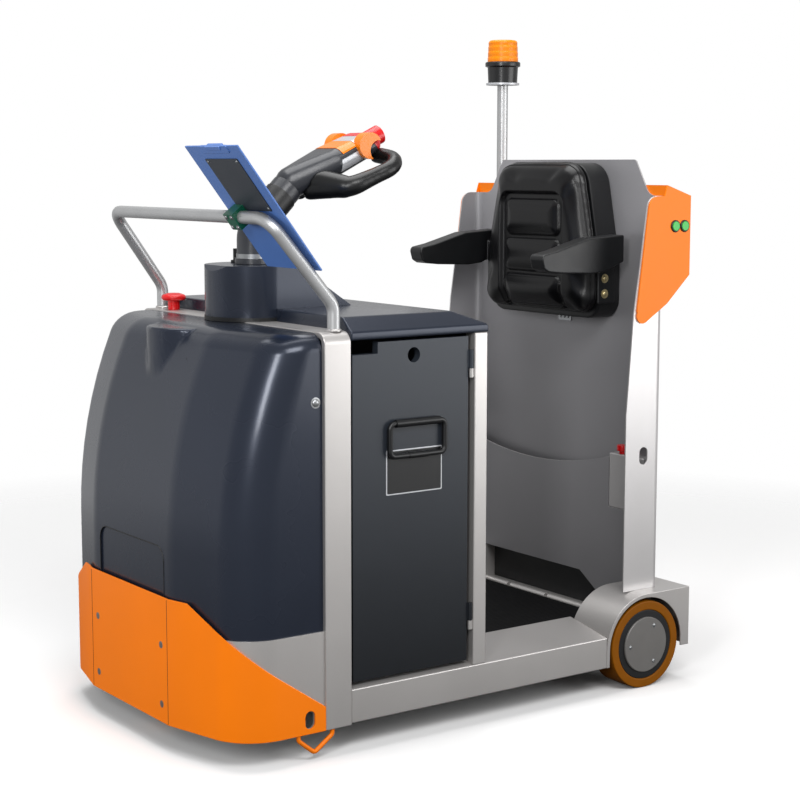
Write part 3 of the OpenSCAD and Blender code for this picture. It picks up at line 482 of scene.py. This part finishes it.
def cutOff(bm, place, keep):  # cut by a plane, closed where it cuts
    cut = bmesh.ops.bisect_plane(bm, geom=everything(bm), dist=weldGap, plane_co=at(*place), plane_no=keep,
                                 clear_inner=True)
    bmesh.ops.edgenet_fill(bm, edges=[e for e in cut["geom_cut"] if isinstance(e, bmesh.types.BMEdge)])


def sleeve(node, cuts, lift):  # copy of a node lifted off its faces and cut, to lie on it as trim
    bm = cadCopy(node)
    bm.normal_update()
    for v in bm.verts:
        v.co += v.normal * lift / 1000
    for place, keep in cuts:
        cutOff(bm, place, keep)
    bmesh.ops.recalc_face_normals(bm, faces=bm.faces)
    return bm


washer = {"edge": 0.8, "top": 1.0}


def dome(radius, height, collar=0.0):  # profile of a screw head, on a washer where it has a collar
    foot = washer["top"] if collar else 0.0
    rim = [(radius + collar, 0), (radius + collar, washer["edge"]), (radius, foot)] if collar else [(radius, 0)]
    curve = [(radius * math.cos(a), foot + height * math.sin(a)) for a in map(math.radians, range(15, 90, 15))]
    return [(0, 0)] + rim + curve + [(0, foot + height)]


roundedNodes = {  # node: finish and edge width in millimetres
    "chassis_frame": (silverPaint, 2.5),
    "portal": (silverPaint, 2.2),
    "battery_posts": (silverPaint, 2.5),
    "front_skirt": (silverPaint, 0.8),
    "bumper": (orangePaint, 1.0),
    "battery_cover": (slateGloss, 4.0),
    "battery_door_left": (doorPaint, 1.6),
    "battery_door_right": (doorPaint, 1.6),
    "door_bail_left": (blackSteel, 1.0),
    "door_bail_right": (blackSteel, 1.0),
    "wheel_arches": (silverPaint, 1.0),
    "rear_switch_box": (wallPaint, 3.0),
    "kick_panel": (blackMoulding, 0.8),
    "platform_mat": (ribbedMat, 2.0),
    "platform_hinge_rod": (silverPaint, 0.8),
    "tow_coupling": (blackSteel, 1.5),
    "tow_pin": (railSteel, 0.8),
    "backrest_shell": (blackMoulding, 6.0),
    "beacon_pole": (railSteel, 0.8),
    "beacon_base": (blackGloss, 1.2),
    "beacon_lens": (amberLens, 1.0),
    "handrail": (railSteel, 0.8),
    "emergency_stop": (redMoulding, 0.8),
    "document_board": (bluePlate, 1.0),
    "board_clamp": (greenMoulding, 2.0),
    "key_switch": (blackMoulding, 0.8),
    "jog_buttons": (greenButton, 1.2),
    "rear_stop_button": (redMoulding, 1.5),
    "front_hooks": (orangePaint, 0.6),
    "door_hinge_pins": (silverPaint, 0.4),
    "tiller_column": (greyMoulding, 1.0),
    "tiller_head": (greyMoulding, 1.0),
    "tiller_throttle": (orangeMoulding, 3.0),
    "tiller_stop_button": (redMoulding, 3.0),
    "rear_hub_left": (blackMoulding, 1.2),
    "rear_hub_right": (blackMoulding, 1.2),
    "rear_tyre_left": (amberTread, 4.0),
    "rear_tyre_right": (amberTread, 4.0),
    "drive_hub": (hubCap, 1.2),
    "drive_tyre": (amberTread, 4.0),
}
plainNodes = {"bulkhead": darkPaint, "battery": blackMoulding, "drive_mount": blackSteel, "drive_unit": blackSteel,
              "rear_axles": boltSteel}

for node, (finish, width) in roundedNodes.items():
    copy = cadCopy(node)
    roundEdges(copy, width / 1000)
    piece(node + "_dressed", copy, finish, bodyOf[node], stands=(node,))
for node, finish in plainNodes.items():
    repaint(node, finish)

rearWall = {"edge": 0.0008, "lean": 0.3, "front": -45}
rearPocket = {"edge": 0.0007, "level": 0.6}


def facesIn(centre, normal):  # the wall's inner side, which the wings shade; it gets the darker paint as painted shade
    ahead = normal.x > rearWall["lean"] and measured(centre)[0] < rearWall["front"]
    return ahead or normal.y * centre.y < 0 and abs(normal.y) > rearWall["lean"]


# up-facing faces, which get the paler paint as painted light
def facesUp(centre, normal):
    return normal.z > rearPocket["level"]


# inner faces in the darker copy of the wall's paint: painted shade
wall = cadCopy("rear_wall")
roundEdges(wall, rearWall["edge"])
piece("rear_wall_dressed", wall, wallPaint, "chassis", stands=("rear_wall",), lining=(wallPaintedShade, facesIn))
# the pocket in the darker paint as painted shade, its up-facing rim in the paler paint as painted light
pocket = cadCopy("storage_pocket")
roundEdges(pocket, rearPocket["edge"])
piece("storage_pocket_dressed", pocket, wallPaintedShade, "chassis", stands=("storage_pocket",),
      lining=(wallPaint, facesUp))

fairingTop = {"crease": 0.361, "under": 1.152, "fall": 0.35, "edge": 0.0008}  # it falls outwards from a crease
fairing = cadCopy("rear_fairing")
for side, _ in bothSides:
    bmesh.ops.bisect_plane(fairing, geom=everything(fairing), dist=weldGap,
                           plane_co=(0, side * fairingTop["crease"], 0), plane_no=(0, side, 0))
for v in fairing.verts:
    over = abs(v.co.y) - fairingTop["crease"]
    if over > 0 and v.co.z > fairingTop["under"]:
        v.co.z -= fairingTop["fall"] * over
roundEdges(fairing, fairingTop["edge"])
piece("rear_fairing_dressed", fairing, orangePaint, "chassis", stands=("rear_fairing",))

consoleBack = {"place": (784, 0, 1018), "down": (110, 0, -163), "edge": 0.003}  # it slopes to the cover
console = cadCopy("console")
cutOff(console, consoleBack["place"], consoleBack["down"])
bmesh.ops.recalc_face_normals(console, faces=console.faces)
roundEdges(console, consoleBack["edge"])
piece("console_dressed", console, slateGloss, "chassis", stands=("console",))

print("stage 4: backrest")

cushionSwell = {"edge": 0.026, "segments": 6, "voxel": 0.005, "inset": 0.002, "held": 0.006, "pressure": 4.0,
                "frames": 20, "cap": 0.008, "passes": (8, 3), "grown": 0.003, "ahead": 0.3}
tiny = 1e-9


def voxelled(bm, size):  # object with an even mesh over a form
    mesh = bpy.data.meshes.new("voxelled")
    bm.to_mesh(mesh)
    bm.free()
    form = bpy.data.objects.new("voxelled", mesh)
    bpy.context.scene.collection.objects.link(form)
    fine = form.modifiers.new("voxels", "REMESH")
    fine.mode, fine.voxel_size = "VOXEL", size
    form.data = bpy.data.meshes.new_from_object(form.evaluated_get(bpy.context.evaluated_depsgraph_get()))
    form.modifiers.clear()
    return form


def taken(form):  # mesh of a helper object, which goes
    bm = bmesh.new()
    bm.from_mesh(form.data)
    bpy.data.objects.remove(form)
    return bm


def smoothed(bm, passes, verts=None):
    for _ in range(passes):
        bmesh.ops.smooth_vert(bm, verts=verts or bm.verts, factor=0.5, use_axis_x=True, use_axis_y=True,
                              use_axis_z=True)


def swollen(bm, settings):  # padded form: voxel mesh blown up by cloth, held at its back
    pad = voxelled(bm, settings["voxel"])
    scene = bpy.context.scene
    start = [v.co.copy() for v in pad.data.vertices]
    back = min(c.x for c in start) + settings["held"]
    group = pad.vertex_groups.new(name="held")
    group.add([i for i, c in enumerate(start) if c.x < back], 1.0, "REPLACE")
    cloth = pad.modifiers.new("cloth", "CLOTH")
    cloth.settings.use_pressure = True
    cloth.settings.uniform_pressure_force = settings["pressure"]
    cloth.settings.effector_weights.gravity = 0
    cloth.settings.vertex_group_mass = "held"
    for f in range(1, settings["frames"] + 1):
        scene.frame_set(f)
    blown = pad.evaluated_get(bpy.context.evaluated_depsgraph_get()).data.vertices
    ends = [v.co.copy() for v in blown]
    pad.modifiers.clear()
    scene.frame_set(1)
    for v, first, last in zip(pad.data.vertices, start, ends):
        move = last - first
        v.co = first + move * min(1.0, settings["cap"] / max(move.length, tiny))
    made = taken(pad)
    coarse, fine = settings["passes"]
    smoothed(made, coarse)
    bmesh.ops.subdivide_edges(made, edges=made.edges, cuts=1, use_grid_fill=True)
    smoothed(made, fine)
    made.normal_update()
    for v in made.verts:
        v.co += Vector((settings["ahead"] * v.normal.x, v.normal.y, v.normal.z)) * settings["grown"]
    return made


def easy(low, high, value):  # smooth step from 0 to 1
    t = min(1.0, max(0.0, (value - low) / (high - low)))
    return t * t * (3 - 2 * t)


def boxGap(y, z, box):  # distance from a rectangle with round corners, negative inside
    half, low, high, radius = box
    dy = abs(y) - half + radius
    dz = abs(z - (low + high) / 2) - (high - low) / 2 + radius
    return math.hypot(max(dy, 0), max(dz, 0)) + min(max(dy, dz), 0) - radius


cushionPads = {
    "pads": [(100, 1067, 1152, 18), (103, 977, 1055, 18), (106, 888, 965, 18)],  # half width, low, high, corner
    "recess": (122, 800, 1174, 34), "front": (1, 17),  # depths between which the sewing sets in
    "groove": 13, "lip": (-3.5, 3.0), "low": 8, "rise": 11, "crown": 34, "rim": 9, "edge": 4,
}


def sewPads(bm, shape):
    for v in bm.verts:
        x, y, z = measured(v.co)
        faceOn = easy(*shape["front"], x)
        if faceOn == 0:
            continue
        gap = min(boxGap(y, z, pad) for pad in shape["pads"])
        inside = easy(0, shape["rim"], -boxGap(y, z, shape["recess"]))
        crown = 1 - (1 - min(1.0, max(0.0, -gap) / shape["crown"])) ** 2
        sunk = shape["groove"] * easy(*shape["lip"], gap)
        sunk += (shape["low"] - shape["rise"] * crown) * easy(0, shape["edge"], -gap)
        v.co.x -= faceOn * inside * sunk / 1000


cushionSeam = {"depths": {"front": 12, "rear": -1}, "radius": 0.0019, "centre": 1062, "steps": 180, "reach": 0.5}


def seamPath(bm, x, shape):  # line round the cushion at one depth
    tree = BVHTree.FromBMesh(bm)
    path = []
    for k in range(shape["steps"]):
        a = math.tau * k / shape["steps"]
        ray = Vector((0, math.cos(a), math.sin(a)))
        path.append(tree.ray_cast(at(x, 0, shape["centre"]) + ray * shape["reach"], -ray)[0])
    return path


cushion = cadCopy("backrest_cushion")
frontFace = max(v.co.x for v in cushion.verts) - 0.001
roundEdges(cushion, cushionSwell["edge"], cushionSwell["segments"],
           picked=lambda e: all(v.co.x > frontFace for v in e.verts))
bmesh.ops.recalc_face_normals(cushion, faces=cushion.faces)
cushion.normal_update()
for v in cushion.verts:
    v.co -= v.normal * cushionSwell["inset"]
cushion = swollen(cushion, cushionSwell)
sewPads(cushion, cushionPads)
for name, x in cushionSeam["depths"].items():
    piping = sweep(seamPath(cushion, x, cushionSeam), cushionSeam["radius"], 8, True)
    piece("backrest_seam_" + name, piping, paddedBlack, "chassis", "black_leather", sharp=60, weighted=False)
padded = piece("backrest_cushion_padded", cushion, paddedBlack, "chassis", stands=("backrest_cushion",), sharp=70,
               weighted=False)

armEdge = {"width": 0.009, "segments": 4}
arms = cadCopy("armrests")
roundEdges(arms, armEdge["width"], armEdge["segments"])
piece("armrests_moulded", arms, blackMoulding, "chassis", stands=("armrests",))

bracketBolts = {"x": -17, "heights": (966, 929), "face": 215, "head": (7, 4.5, 4)}
for side, name in bothSides:
    heads = [lathe(dome(*bracketBolts["head"]), (bracketBolts["x"], side * bracketBolts["face"], z), (0, side, 0), 24)
             for z in bracketBolts["heights"]]
    piece("armrest_bolts_" + name, joined(heads), brassSteel, "chassis", "steel")

backLatch = {"place": (-75, 6, 858), "half": (24, 10), "corner": 4, "thick": 3, "screw": (4, 2.5), "apart": 14}
latchPlate = slab(roundBox(*backLatch["half"], backLatch["corner"]), backLatch["thick"],
                  plane(backLatch["place"], leftward, forward))
latchX, latchY, latchZ = backLatch["place"]
latchScrews = [lathe(dome(*backLatch["screw"]), (latchX + backLatch["thick"], latchY + k * backLatch["apart"], latchZ),
                     forward, 20) for k in (-1, 0, 1)]
piece("backrest_latch", joined([latchPlate] + latchScrews), boltSteel, "chassis", "steel")

print("stage 5: tiller and board")

tillerHead = {"neck": (745, 0, 1186), "angle": math.radians(25)}
headAhead = Vector((-math.cos(tillerHead["angle"]), 0, math.sin(tillerHead["angle"])))
headUp = Vector((math.sin(tillerHead["angle"]), 0, math.cos(tillerHead["angle"])))


def onHead(s=0, y=0, h=0):  # along the head from the neck, to the left, above its axis
    return tuple(Vector(tillerHead["neck"]) + headAhead * s + headUp * h + Vector((0, y, 0)))


gripSwell = {"voxel": 0.0026, "passes": (4, 3), "thick": 5.0, "thin": 0.6, "span": (70, 170)}  # stout near the neck
grips = taken(voxelled(cadCopy("tiller_grips"), gripSwell["voxel"]))
smoothed(grips, gripSwell["passes"][0])
grips.normal_update()
for v in grips.verts:
    along = (Vector(measured(v.co)) - Vector(tillerHead["neck"])).dot(headAhead)
    stout = 1 - easy(*gripSwell["span"], along)
    v.co += v.normal * (gripSwell["thin"] + gripSwell["thick"] * stout) / 1000
smoothed(grips, gripSwell["passes"][1])
piece("tiller_grips_dressed", grips, rubberGrip, "tiller", stands=("tiller_grips",), sharp=60, weighted=False)

headCover = {"from": 176, "above": 17, "lift": 1.0}
cover = sleeve("tiller_head", [(onHead(headCover["from"]), headAhead), (onHead(h=headCover["above"]), headUp)],
               headCover["lift"])
piece("tiller_cover", cover, paleMoulding, "tiller", "slate_gloss")

headPanel = {"from": 132, "to": 174, "above": 21, "lift": 1.4}
panel = sleeve("tiller_head", [(onHead(headPanel["from"]), headAhead), (onHead(headPanel["to"]), -headAhead),
                               (onHead(h=headPanel["above"]), headUp)], headPanel["lift"])
piece("tiller_panel", panel, orangeMoulding, "tiller", "orange_plastic")

headFlank = {"from": 118, "to": 190, "low": -14, "high": 11, "out": 40, "slant": 0.35, "lift": 0.9}
for side, name in bothSides:
    flank = sleeve("tiller_head", [(onHead(headFlank["from"]), headAhead - headUp * headFlank["slant"]),
                                   (onHead(headFlank["to"]), -headAhead),
                                   (onHead(h=headFlank["low"]), headUp), (onHead(h=headFlank["high"]), -headUp),
                                   (onHead(y=side * headFlank["out"]), (0, side, 0))], headFlank["lift"])
    piece("tiller_flank_" + name, flank, paleMoulding, "tiller", "slate_gloss")

headCap = {"from": 222, "slant": 0.5, "lift": 1.5}
cap = sleeve("tiller_head", [(onHead(headCap["from"]), headAhead + headUp * headCap["slant"])], headCap["lift"])
piece("tiller_cap", cap, redMoulding, "tiller", "red_plastic")

tillerNeck = {"foot": (836, 0, 1096), "rise": (-91, 0, 90)}
neckRise = Vector(tillerNeck["rise"]).normalized()


def onNeck(t):
    return tuple(Vector(tillerNeck["foot"]) + neckRise * t)


neckBands = {"spans": {"low": (42, 64), "high": (68, 104)}, "lift": 2.4, "edge": 0.0012, "sharp": 50}
for name, (low, high) in neckBands["spans"].items():
    band = sleeve("tiller_column", [(onNeck(low), neckRise), (onNeck(high), -neckRise)], neckBands["lift"])
    roundEdges(band, neckBands["edge"], low=neckBands["sharp"])
    piece("tiller_band_" + name, band, blackMoulding, "tiller", "black_plastic")

columnCollar = {"x": 836, "low": 1031, "high": 1041, "lift": 1.2}
collar = sleeve("tiller_column", [((columnCollar["x"], 0, columnCollar["low"]), upward),
                                  ((columnCollar["x"], 0, columnCollar["high"]), (0, 0, -1))], columnCollar["lift"])
piece("tiller_collar", collar, boltSteel, "tiller", "steel")

boardPlane = {"place": (1006.5, 168, 1130), "slope": math.atan2(180, 140), "face": 17.5}
boardUp = Vector((math.cos(boardPlane["slope"]), 0, math.sin(boardPlane["slope"])))
boardOut = Vector((math.sin(boardPlane["slope"]), 0, -math.cos(boardPlane["slope"])))


def onBoard(along, across, off):  # up the board, to the left, out of its front face
    spot = Vector(boardPlane["place"]) + boardUp * along + boardOut * (off - boardPlane["face"])
    return tuple(spot + Vector((0, across, 0)))


def fourOf(along, across):  # the corners of a rectangle
    return [(a, b) for a in (-along, along) for b in (-across, across)]


boardPanel = {"middle": (71, 116), "half": (64, 66), "corner": 3, "thick": 1.6, "rivet": (3.2, 1.6),
              "rivets": (59, 57)}
panelUp, panelLeft = boardPanel["middle"]
insert = slab(roundBox(*boardPanel["half"], boardPanel["corner"]), boardPanel["thick"],
              plane(onBoard(panelUp, panelLeft, 0), leftward, boardOut))
piece("board_panel", insert, darkPanel, "chassis", "black_plastic")
rivets = [lathe(dome(*boardPanel["rivet"]), onBoard(panelUp + a, panelLeft + b, boardPanel["thick"]), boardOut, 16)
          for a, b in fourOf(*boardPanel["rivets"])]
piece("board_rivets", joined(rivets), boltSteel, "chassis", "steel")

clipBar = {"place": (160, 116, -4), "box": (54, 9, 4), "thick": 6, "edge": 0.0015, "sharp": 40}
clipJaw = {"place": (165, 116, -8), "box": (30, 4, 2), "thick": 12}
bar, jaw = [slab(roundBox(*shape["box"]), shape["thick"], plane(onBoard(*shape["place"]), leftward, boardOut))
            for shape in (clipBar, clipJaw)]
roundEdges(bar, clipBar["edge"], low=clipBar["sharp"])
piece("board_clip", joined([bar, jaw]), bluePlate, "chassis", "blue_plastic")

clampBolts = {"head": (4, 2.4, 1.5), "across": 61, "off": 35, "apart": (13, 11)}
heads = [lathe(dome(*clampBolts["head"]), onBoard(a, clampBolts["across"] + b, clampBolts["off"]), boardOut, 20)
         for a, b in fourOf(*clampBolts["apart"])]
piece("clamp_bolts", joined(heads), boltSteel, "chassis", "steel")

print("stage 6: hood, bumper and doors")

hoodTongue = {"half": 122, "low": 748, "high": 899, "front": 985, "edge": 0.007, "passes": 9, "rounds": 7,
              "margins": (12, 24), "flat": 0.1, "round": 0.0012}


def inTongue(spot, shape, margin=0.0):
    x, y, z = measured(spot)
    return (abs(y) < shape["half"] + margin and shape["low"] - margin < z < shape["high"]
            and x > shape["front"] - margin)


hoodShell = cadCopy("hood")
roundEdges(hoodShell, hoodTongue["round"])
cutMargin, turnMargin = hoodTongue["margins"]
for _ in range(hoodTongue["rounds"]):  # even mesh round the tongue, then smoothed
    long = [e for e in hoodShell.edges if e.calc_length() > hoodTongue["edge"]
            and inTongue((e.verts[0].co + e.verts[1].co) / 2, hoodTongue, cutMargin)]
    bmesh.ops.subdivide_edges(hoodShell, edges=long, cuts=1)
    near = [f for f in hoodShell.faces if inTongue(f.calc_center_median(), hoodTongue, turnMargin)]
    near = bmesh.ops.triangulate(hoodShell, faces=near)["faces"]
    inner = [e for e in dict.fromkeys(e for f in near for e in f.edges)
             if e.is_manifold and e.calc_face_angle(1) < hoodTongue["flat"]]
    bmesh.ops.beautify_fill(hoodShell, faces=near, edges=inner, method="ANGLE")
smoothed(hoodShell, hoodTongue["passes"], [v for v in hoodShell.verts if inTongue(v.co, hoodTongue)])
piece("hood_dressed", hoodShell, slateGloss, "chassis", stands=("hood",), sharp=40)

# dark cord along the edge of the hood's front recess: painted shade where the crease is
recessShadeLine = {"x": 1149.9, "half": 150, "top": 440, "low": 337, "corner": 30, "steps": 8, "radius": 0.0013}
line = [at(recessShadeLine["x"], recessShadeLine["half"], recessShadeLine["low"])]
for side, start in ((1, 0), (-1, 90)):
    for i in range(recessShadeLine["steps"] + 1):
        a = math.radians(start + 90 * i / recessShadeLine["steps"])
        y = side * (recessShadeLine["half"] - recessShadeLine["corner"]) + recessShadeLine["corner"] * math.cos(a)
        line.append(at(recessShadeLine["x"], y, recessShadeLine["top"] + recessShadeLine["corner"] * (math.sin(a) - 1)))
line.append(at(recessShadeLine["x"], -recessShadeLine["half"], recessShadeLine["low"]))
piece("hood_recess_shade_line", sweep(line, recessShadeLine["radius"], 8), blackMoulding, "chassis", "slate_gloss")

bumperScrews = {"x": 1159.6, "y": 150, "heights": (232, 103),
                "profile": [(0, 0), (8.5, 0), (8.5, 0.3), (6.5, 0.6), (0, 0.6)]}
heads = [lathe(bumperScrews["profile"], (bumperScrews["x"], side * bumperScrews["y"], z), forward, 24)
         for side, _ in bothSides for z in bumperScrews["heights"]]
piece("bumper_screws", joined(heads), boltSteel, "chassis", "steel")

# dark strips along the bumper's front folds: painted shade of the folds
bumperFoldShade = {"x": 1159.4, "y": 178, "middle": 199.5, "half": (0.7, 134.5), "corner": 0.3, "thick": 0.9}
foldShades = [slab(roundBox(*bumperFoldShade["half"], bumperFoldShade["corner"], 2), bumperFoldShade["thick"],
              plane((bumperFoldShade["x"], side * bumperFoldShade["y"], bumperFoldShade["middle"]), leftward, forward))
         for side, _ in bothSides]
piece("bumper_fold_shades", joined(foldShades), blackMoulding, "chassis", "black_plastic")

hoodScrews = {"x": 923, "y": 389.7, "z": 755, "head": (8.5, 4.5, 3.0)}
for side, name in bothSides:
    screw = lathe(dome(*hoodScrews["head"]), (hoodScrews["x"], side * hoodScrews["y"], hoodScrews["z"]),
                  (0, side, 0), 28)
    piece("hood_screw_" + name, screw, boltSteel, "chassis", "steel")

namePlate = {"place": (676, 391.8, 592), "rim": (73, 48, 3), "rimThick": 0.8, "field": (70.4, 45.4, 2),
             "fieldThick": 1.2}
plateWhere = plane(namePlate["place"], (-1, 0, 0), leftward)
rim = slab(roundBox(*namePlate["rim"]), namePlate["rimThick"], plateWhere)
piece("door_plate_rim_left", rim, paleMoulding, "door_left", "frame_silver")
field = slab(roundBox(*namePlate["field"]), namePlate["fieldThick"], plateWhere)
piece("door_plate_left", field, blackMoulding, "door_left", "black_plastic")

print("stage 7: rear wall, wheels and beacon")

hubCover = {"face": 396, "axle": 105, "profile": [(0, 0), (66.3, 0), (66.3, 3.3), (64.8, 4.6), (0, 4.6)],
            "screw": (3.6, 1.2, 1.6), "screwFace": 399.9, "circle": 50, "turns": (0, 120, 240)}
for side, name in bothSides:
    cap = lathe(hubCover["profile"], (0, side * hubCover["face"], hubCover["axle"]), (0, side, 0), 96)
    piece("hub_cap_" + name, cap, hubCap, "rear_wheel_" + name, "cast_hub")
    heads = [lathe(dome(*hubCover["screw"]),
                   (hubCover["circle"] * math.cos(a), side * hubCover["screwFace"],
                    hubCover["axle"] + hubCover["circle"] * math.sin(a)), (0, side, 0), 20)
             for a in map(math.radians, hubCover["turns"])]
    piece("hub_screws_" + name, joined(heads), boltSteel, "rear_wheel_" + name, "steel")

jogBezels = {"xs": (-105, -135), "z": 1094, "face": 361.3,
             "profile": [(11.2, 0), (14.2, 0), (14.2, 2.2), (12.6, 3.4), (11.2, 3.4), (11.2, 0)]}
for side, name in bothSides:
    rings = [lathe(jogBezels["profile"], (x, side * jogBezels["face"], jogBezels["z"]), (0, side, 0))
             for x in jogBezels["xs"]]
    piece("jog_bezels_" + name, joined(rings), blackMoulding, "chassis", "black_plastic")

consoleFoot = {"x": 836, "top": 906, "lift": 1.6}
foot = sleeve("console", [((consoleFoot["x"], 0, consoleFoot["top"]), (0, 0, -1))], consoleFoot["lift"])
piece("console_foot", foot, blackMoulding, "chassis", "black_plastic")

railFeet = {"x": 866.5, "y": 372, "z": 898,
            "profile": [(13.6, 0), (17, 0), (17, 2.5), (15, 4.5), (13.6, 5), (13.6, 0)]}
collars = [lathe(railFeet["profile"], (railFeet["x"], side * railFeet["y"], railFeet["z"]), steps=40)
           for side, _ in bothSides]
piece("rail_collars", joined(collars), silverPaint, "chassis", "frame_silver")

beaconPlate = {"place": (-110, -300, 1445),
               "profile": [(14.2, 0.2), (43.6, 0.2), (43.6, 4.6), (42.6, 5.4), (14.2, 5.4), (14.2, 0.2)]}
plate = lathe(beaconPlate["profile"], beaconPlate["place"], steps=56)
piece("beacon_plate", plate, paleMoulding, "chassis", "frame_silver")
